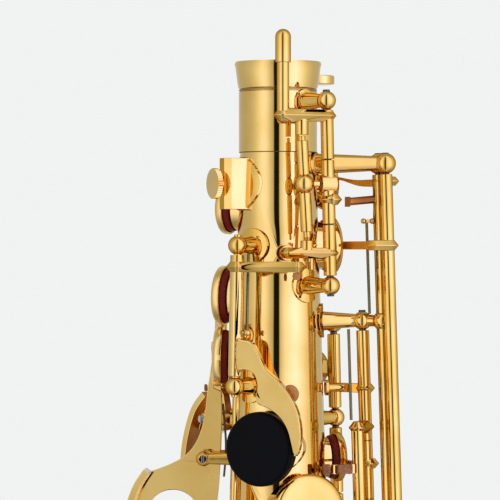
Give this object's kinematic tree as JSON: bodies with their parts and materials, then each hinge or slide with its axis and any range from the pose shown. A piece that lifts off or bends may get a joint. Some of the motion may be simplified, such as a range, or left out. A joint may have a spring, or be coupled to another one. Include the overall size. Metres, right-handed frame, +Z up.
{
  "type": "soprano saxophone body",
  "caption": "Straight soprano saxophone body with full keywork, octave mechanism, thumb rest and open neck receiver, standing on its bell.",
  "frame": {"origin": "centre of the bell rim, in the plane it stands on", "axes": "+Z up the bore to the neck receiver, -Y toward the player (the thumb side shown in the picture), +X to the right of that view"},
  "size_m": [0.0904, 0.0904, 0.5669],
  "materials": {
    "lacquer": "clear gold lacquer over polished brass",
    "steel": "bare and blued steel",
    "black_plastic": "matte black moulded plastic",
    "pad_leather": "dark red-brown leather",
    "felt": "pressed felt"
  },
  "bodies": {
    "body": {"body_tube": "lacquer", "neck_receiver": "lacquer", "bell": "lacquer", "bell_ring": "lacquer", "lyre_holder": "lacquer", "octave_pip": "lacquer", "octave_posts": "lacquer", "palm_posts": "lacquer", "side_posts": "lacquer", "side_posts_low": "lacquer", "stack_posts": "lacquer", "low_posts": "lacquer", "bell_posts": "lacquer", "hinge_rods": "steel", "palm_pivots": "steel", "needle_springs": "steel", "rest_base": "lacquer", "thumb_rest": "black_plastic", "thumb_hook": "lacquer", "strap_ring": "lacquer", "key_guards": "lacquer", "guard_felts": "felt"},
    "octave_thumb_lever": {"octave_thumb_lever": "lacquer"},
    "octave_neck_lever": {"octave_neck_lever": "lacquer"},
    "octave_carrier": {"octave_carrier": "lacquer"},
    "octave_rocker": {"octave_rocker": "lacquer"},
    "octave_body_lever": {"octave_body_lever": "lacquer"},
    "palm_d_key": {"palm_d_key": "lacquer", "palm_d_pad": "pad_leather"},
    "palm_eb_key": {"palm_eb_key": "lacquer", "palm_eb_pad": "pad_leather"},
    "palm_f_key": {"palm_f_key": "lacquer", "palm_f_pad": "pad_leather"},
    "high_e_key": {"high_e_key": "lacquer", "high_e_pad": "pad_leather"},
    "high_fsharp_key": {"high_fsharp_key": "lacquer", "high_fsharp_pad": "pad_leather"},
    "side_c_key": {"side_c_key": "lacquer", "side_c_pad": "pad_leather"},
    "side_bb_key": {"side_bb_key": "lacquer"},
    "front_f_lever": {"front_f_lever": "lacquer"},
    "c_vent_key": {"c_vent_key": "lacquer"},
    "b_key": {"b_key": "lacquer"},
    "bis_key": {"bis_key": "lacquer"},
    "a_key": {"a_key": "lacquer"},
    "g_key": {"g_key": "lacquer"},
    "gsharp_key": {"gsharp_key": "lacquer"},
    "fsharp_key": {"fsharp_key": "lacquer"},
    "f_key": {"f_key": "lacquer"},
    "e_key": {"e_key": "lacquer"},
    "d_key": {"d_key": "lacquer"},
    "eb_key": {"eb_key": "lacquer"},
    "low_c_key": {"low_c_key": "lacquer"},
    "low_csharp_key": {"low_csharp_key": "lacquer"},
    "low_b_key": {"low_b_key": "lacquer"},
    "low_bb_key": {"low_bb_key": "lacquer"},
    "clamp_screw": {"clamp_screw": "lacquer"},
    "lyre_screw": {"lyre_screw": "lacquer"}
  },
  "joints": [
    {"name": "octave_thumb_lever_hinge", "type": "hinge", "parent": "body", "child": "octave_thumb_lever", "pos_m": [-0.00996, -0.01275, 0.5], "axis": [0.0189, 0.0242, 0.9995], "range_deg": [0, 6], "stiffness_Nm_per_rad": 0.05, "springref_deg": -17.19},
    {"name": "octave_neck_lever_hinge", "type": "hinge", "parent": "body", "child": "octave_neck_lever", "pos_m": [0.01144, -0.01271, 0.545], "axis": [-0.0206, 0.0228, 0.9995], "range_deg": [-12, 0]},
    {"name": "octave_carrier_hinge", "type": "hinge", "parent": "body", "child": "octave_carrier", "pos_m": [0.01175, -0.01305, 0.53], "axis": [-0.0206, 0.0228, 0.9995], "range_deg": [-6, 0]},
    {"name": "octave_rocker_pivot", "type": "hinge", "parent": "octave_carrier", "child": "octave_rocker", "pos_m": [0.00606, -0.01453, 0.5305], "axis": [-0.9674, -0.2531, 0], "range_deg": [0, 3]},
    {"name": "octave_body_lever_hinge", "type": "hinge", "parent": "body", "child": "octave_body_lever", "pos_m": [0.01208, -0.01342, 0.514], "axis": [-0.0206, 0.0228, 0.9995], "range_deg": [0, 8], "stiffness_Nm_per_rad": 0.05, "springref_deg": -17.19},
    {"name": "palm_d_key_pivot", "type": "hinge", "parent": "body", "child": "palm_d_key", "pos_m": [-0.01758, 0.00092, 0.4651], "axis": [-0.0523, -0.9986, 0], "range_deg": [0, 6], "stiffness_Nm_per_rad": 0.05, "springref_deg": -17.19},
    {"name": "palm_eb_key_pivot", "type": "hinge", "parent": "body", "child": "palm_eb_key", "pos_m": [-0.01351, 0.01174, 0.474], "axis": [-0.6561, -0.7547, 0], "range_deg": [0, 6], "stiffness_Nm_per_rad": 0.05, "springref_deg": -17.19},
    {"name": "palm_f_key_pivot", "type": "hinge", "parent": "body", "child": "palm_f_key", "pos_m": [-0.00363, 0.01455, 0.4826], "axis": [-0.9703, -0.2419, 0], "range_deg": [0, 5], "stiffness_Nm_per_rad": 0.05, "springref_deg": -17.19},
    {"name": "high_e_key_hinge", "type": "hinge", "parent": "body", "child": "high_e_key", "pos_m": [0.02608, -0.00699, 0.516], "axis": [-0.0297, 0.008, 0.9995], "range_deg": [-8, 0], "stiffness_Nm_per_rad": 0.05, "springref_deg": 17.19},
    {"name": "high_fsharp_key_hinge", "type": "hinge", "parent": "body", "child": "high_fsharp_key", "pos_m": [0.02411, -0.00352, 0.53], "axis": [-0.0304, 0.0044, 0.9995], "range_deg": [-8, 0], "stiffness_Nm_per_rad": 0.05, "springref_deg": 17.19},
    {"name": "side_c_key_hinge", "type": "hinge", "parent": "body", "child": "side_c_key", "pos_m": [0.02121, -0.00148, 0.465], "axis": [-0.0307, 0.0021, 0.9995], "range_deg": [-8, 0], "stiffness_Nm_per_rad": 0.05, "springref_deg": 17.19},
    {"name": "side_bb_key_hinge", "type": "hinge", "parent": "body", "child": "side_bb_key", "pos_m": [0.01792, -0.0112, 0.44], "axis": [-0.0261, 0.0163, 0.9995], "range_deg": [0, 8], "stiffness_Nm_per_rad": 0.05, "springref_deg": -17.19},
    {"name": "front_f_lever_hinge", "type": "hinge", "parent": "body", "child": "front_f_lever", "pos_m": [0.01389, 0.01342, 0.486], "axis": [-0.0221, -0.0214, 0.9995], "range_deg": [0, 8], "stiffness_Nm_per_rad": 0.05, "springref_deg": -17.19},
    {"name": "c_vent_key_hinge", "type": "hinge", "parent": "body", "child": "c_vent_key", "pos_m": [0.01436, 0.01387, 0.465], "axis": [-0.0221, -0.0214, 0.9995], "range_deg": [0, 13], "stiffness_Nm_per_rad": 0.05, "springref_deg": -17.19},
    {"name": "b_key_hinge", "type": "hinge", "parent": "body", "child": "b_key", "pos_m": [0.01478, 0.01427, 0.446], "axis": [-0.0221, -0.0214, 0.9995], "range_deg": [0, 13], "stiffness_Nm_per_rad": 0.05, "springref_deg": -17.19},
    {"name": "bis_key_hinge", "type": "hinge", "parent": "body", "child": "bis_key", "pos_m": [0.01524, 0.01472, 0.425], "axis": [-0.0221, -0.0214, 0.9995], "range_deg": [0, 13], "stiffness_Nm_per_rad": 0.05, "springref_deg": -17.19},
    {"name": "a_key_hinge", "type": "hinge", "parent": "body", "child": "a_key", "pos_m": [0.01573, 0.01519, 0.403], "axis": [-0.0221, -0.0214, 0.9995], "range_deg": [0, 13], "stiffness_Nm_per_rad": 0.05, "springref_deg": -17.19},
    {"name": "g_key_hinge", "type": "hinge", "parent": "body", "child": "g_key", "pos_m": [0.01628, 0.01572, 0.378], "axis": [-0.0221, -0.0214, 0.9995], "range_deg": [0, 13], "stiffness_Nm_per_rad": 0.05, "springref_deg": -17.19},
    {"name": "gsharp_key_hinge", "type": "hinge", "parent": "body", "child": "gsharp_key", "pos_m": [-0.01925, 0.01024, 0.353], "axis": [0.0271, -0.0144, 0.9995], "range_deg": [0, 10], "stiffness_Nm_per_rad": 0.05, "springref_deg": -17.19},
    {"name": "fsharp_key_hinge", "type": "hinge", "parent": "body", "child": "fsharp_key", "pos_m": [0.01918, 0.01789, 0.323], "axis": [-0.0225, -0.021, 0.9995], "range_deg": [0, 13], "stiffness_Nm_per_rad": 0.05, "springref_deg": -17.19},
    {"name": "f_key_hinge", "type": "hinge", "parent": "body", "child": "f_key", "pos_m": [0.01983, 0.0185, 0.294], "axis": [-0.0225, -0.021, 0.9995], "range_deg": [0, 13], "stiffness_Nm_per_rad": 0.05, "springref_deg": -17.19},
    {"name": "e_key_hinge", "type": "hinge", "parent": "body", "child": "e_key", "pos_m": [0.02053, 0.01915, 0.263], "axis": [-0.0225, -0.021, 0.9995], "range_deg": [0, 13], "stiffness_Nm_per_rad": 0.05, "springref_deg": -17.19},
    {"name": "d_key_hinge", "type": "hinge", "parent": "body", "child": "d_key", "pos_m": [0.0213, 0.01986, 0.229], "axis": [-0.0225, -0.021, 0.9995], "range_deg": [0, 13], "stiffness_Nm_per_rad": 0.05, "springref_deg": -17.19},
    {"name": "eb_key_hinge", "type": "hinge", "parent": "body", "child": "eb_key", "pos_m": [0.02335, 0.01824, 0.196], "axis": [-0.0242, -0.0189, 0.9995], "range_deg": [0, 10], "stiffness_Nm_per_rad": 0.05, "springref_deg": -17.19},
    {"name": "low_c_key_hinge", "type": "hinge", "parent": "body", "child": "low_c_key", "pos_m": [0.02319, 0.0224, 0.16], "axis": [-0.0221, -0.0214, 0.9995], "range_deg": [0, 11], "stiffness_Nm_per_rad": 0.05, "springref_deg": -17.19},
    {"name": "low_csharp_key_hinge", "type": "hinge", "parent": "body", "child": "low_csharp_key", "pos_m": [-0.02483, -0.0194, 0.135], "axis": [0.0242, 0.0189, 0.9995], "range_deg": [0, 10], "stiffness_Nm_per_rad": 0.05, "springref_deg": -17.19},
    {"name": "low_b_key_hinge", "type": "hinge", "parent": "body", "child": "low_b_key", "pos_m": [-0.02815, 0.01899, 0.088], "axis": [0.0255, -0.0172, 0.9995], "range_deg": [-11, 0], "stiffness_Nm_per_rad": 0.05, "springref_deg": 17.19},
    {"name": "low_bb_key_hinge", "type": "hinge", "parent": "body", "child": "low_bb_key", "pos_m": [-0.01313, -0.03251, 0.052], "axis": [0.0115, 0.0285, 0.9995], "range_deg": [-11, 0], "stiffness_Nm_per_rad": 0.05, "springref_deg": 17.19},
    {"name": "clamp_screw_turn", "type": "hinge", "parent": "body", "child": "clamp_screw", "pos_m": [0, 0.0132, 0.5564], "axis": [1, 0, 0], "continuous": true},
    {"name": "lyre_screw_turn", "type": "hinge", "parent": "body", "child": "lyre_screw", "pos_m": [-0.01269, -0.00592, 0.5307], "axis": [-0.9063, -0.4226, 0], "continuous": true}
  ],
  "couplings": [
    {"joint": "octave_neck_lever_hinge", "follows": "octave_thumb_lever_hinge", "ratio": -2},
    {"joint": "octave_carrier_hinge", "follows": "octave_thumb_lever_hinge", "ratio": -1},
    {"joint": "octave_rocker_pivot", "follows": "octave_thumb_lever_hinge", "ratio": 0.45}
  ]
}
